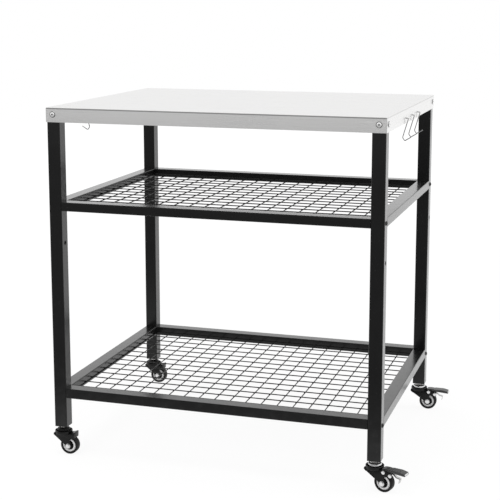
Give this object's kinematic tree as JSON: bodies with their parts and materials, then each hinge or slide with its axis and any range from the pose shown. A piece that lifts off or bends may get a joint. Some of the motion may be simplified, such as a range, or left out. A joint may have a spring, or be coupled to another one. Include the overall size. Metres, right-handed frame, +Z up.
{
  "type": "outdoor pizza oven table",
  "caption": "Wheeled outdoor table with a folded steel worktop, mesh shelves, swivel casters with foot brakes and hanging hooks.",
  "frame": {"origin": "on the floor under the middle of the worktop", "axes": "+X to the right along the worktop's length, +Y to the back, +Z up"},
  "size_m": [1.0004, 0.7316, 0.96],
  "materials": {
    "stainless": "brushed stainless sheet",
    "powder_coat": "black powder coat, fine texture",
    "mesh_coat": "black powder coat on welded wire",
    "bright_zinc": "bright zinc plate",
    "steel_bolt": "stainless bolt",
    "black_bolt": "black oxide",
    "hidden_steel": "plain steel",
    "caster_black": "black coated pressed steel",
    "pedal_grey": "grey coated pressed steel",
    "wheel_grey": "grey moulded nylon",
    "tyre_black": "black rubber",
    "hook_wire": "bright plated wire"
  },
  "bodies": {
    "table_frame": {"worktop": "stainless", "worktop_stiffener_left": "stainless", "worktop_stiffener_right": "stainless", "leg_front_left": "powder_coat", "leg_front_right": "powder_coat", "leg_back_left": "powder_coat", "leg_back_right": "powder_coat", "worktop_bolts": "steel_bolt", "worktop_weld_nuts": "hidden_steel", "mid_shelf_rail_front": "powder_coat", "mid_shelf_rail_back": "powder_coat", "mid_shelf_rail_left": "powder_coat", "mid_shelf_rail_right": "powder_coat", "mid_shelf_mesh": "mesh_coat", "mid_shelf_bolts": "black_bolt", "mid_shelf_rail_end_blocks": "hidden_steel", "bottom_shelf_rail_front": "powder_coat", "bottom_shelf_rail_back": "powder_coat", "bottom_shelf_rail_left": "powder_coat", "bottom_shelf_rail_right": "powder_coat", "bottom_shelf_mesh": "mesh_coat", "bottom_shelf_bolts": "black_bolt", "bottom_shelf_rail_end_blocks": "hidden_steel", "leg_foot_blocks": "hidden_steel", "caster_lock_nuts": "bright_zinc", "caster_bearing_balls": "bright_zinc", "caster_stem_front_left": "bright_zinc", "caster_stem_front_right": "bright_zinc", "caster_stem_back_left": "bright_zinc", "caster_stem_back_right": "bright_zinc"},
    "caster_front_left": {"caster_fork_front_left": "caster_black", "caster_axle_front_left": "bright_zinc"},
    "wheel_front_left": {"caster_rim_front_left": "wheel_grey", "caster_tyre_front_left": "tyre_black"},
    "caster_front_right": {"caster_fork_front_right": "caster_black", "caster_axle_front_right": "bright_zinc", "brake_spring_front_right": "bright_zinc", "brake_rivets_front_right": "bright_zinc"},
    "wheel_front_right": {"caster_rim_front_right": "wheel_grey", "caster_tyre_front_right": "tyre_black"},
    "pedal_front_right": {"brake_pedal_front_right": "pedal_grey"},
    "caster_back_left": {"caster_fork_back_left": "caster_black", "caster_axle_back_left": "bright_zinc"},
    "wheel_back_left": {"caster_rim_back_left": "wheel_grey", "caster_tyre_back_left": "tyre_black"},
    "caster_back_right": {"caster_fork_back_right": "caster_black", "caster_axle_back_right": "bright_zinc", "brake_spring_back_right": "bright_zinc", "brake_rivets_back_right": "bright_zinc"},
    "wheel_back_right": {"caster_rim_back_right": "wheel_grey", "caster_tyre_back_right": "tyre_black"},
    "pedal_back_right": {"brake_pedal_back_right": "pedal_grey"},
    "right_hook_front": {"right_hook_front": "hook_wire"},
    "right_hook_middle": {"right_hook_middle": "hook_wire"},
    "right_hook_back": {"right_hook_back": "hook_wire"},
    "left_hook_front": {"left_hook_front": "hook_wire"},
    "left_hook_back": {"left_hook_back": "hook_wire"}
  },
  "joints": [
    {"name": "caster_front_left_swivel", "type": "hinge", "parent": "table_frame", "child": "caster_front_left", "pos_m": [-0.4375, -0.336, 0.06], "axis": [0, 0, 1], "continuous": true},
    {"name": "wheel_front_left_spin", "type": "hinge", "parent": "caster_front_left", "child": "wheel_front_left", "pos_m": [-0.4185, -0.336, 0.0255], "axis": [0, 1, 0], "continuous": true},
    {"name": "caster_front_right_swivel", "type": "hinge", "parent": "table_frame", "child": "caster_front_right", "pos_m": [0.4375, -0.336, 0.06], "axis": [0, 0, 1], "continuous": true},
    {"name": "wheel_front_right_spin", "type": "hinge", "parent": "caster_front_right", "child": "wheel_front_right", "pos_m": [0.46455, -0.34325, 0.0255], "axis": [0.2588, 0.9659, 0], "continuous": true},
    {"name": "pedal_front_right_press", "type": "hinge", "parent": "caster_front_right", "child": "pedal_front_right", "pos_m": [0.46744, -0.34402, 0.0555], "axis": [0.2588, 0.9659, 0], "range_deg": [0, 11]},
    {"name": "caster_back_left_swivel", "type": "hinge", "parent": "table_frame", "child": "caster_back_left", "pos_m": [-0.4375, 0.336, 0.06], "axis": [0, 0, 1], "continuous": true},
    {"name": "wheel_back_left_spin", "type": "hinge", "parent": "caster_back_left", "child": "wheel_back_left", "pos_m": [-0.4185, 0.336, 0.0255], "axis": [0, 1, 0], "continuous": true},
    {"name": "caster_back_right_swivel", "type": "hinge", "parent": "table_frame", "child": "caster_back_right", "pos_m": [0.4375, 0.336, 0.06], "axis": [0, 0, 1], "continuous": true},
    {"name": "wheel_back_right_spin", "type": "hinge", "parent": "caster_back_right", "child": "wheel_back_right", "pos_m": [0.4655, 0.336, 0.0255], "axis": [0, 1, 0], "continuous": true},
    {"name": "pedal_back_right_press", "type": "hinge", "parent": "caster_back_right", "child": "pedal_back_right", "pos_m": [0.4685, 0.336, 0.0555], "axis": [0, 1, 0], "range_deg": [0, 11]},
    {"name": "right_hook_front_swing", "type": "hinge", "parent": "table_frame", "child": "right_hook_front", "pos_m": [0.457, -0.099, 0.935], "axis": [1, 0, 0], "range_deg": [-35, 35]},
    {"name": "right_hook_middle_swing", "type": "hinge", "parent": "table_frame", "child": "right_hook_middle", "pos_m": [0.457, -0.009, 0.935], "axis": [1, 0, 0], "range_deg": [-35, 35]},
    {"name": "right_hook_back_swing", "type": "hinge", "parent": "table_frame", "child": "right_hook_back", "pos_m": [0.457, 0.081, 0.935], "axis": [1, 0, 0], "range_deg": [-35, 35]},
    {"name": "left_hook_front_swing", "type": "hinge", "parent": "table_frame", "child": "left_hook_front", "pos_m": [-0.457, -0.099, 0.935], "axis": [1, 0, 0], "range_deg": [-35, 35]},
    {"name": "left_hook_back_swing", "type": "hinge", "parent": "table_frame", "child": "left_hook_back", "pos_m": [-0.457, 0.081, 0.935], "axis": [1, 0, 0], "range_deg": [-35, 35]}
  ]
}
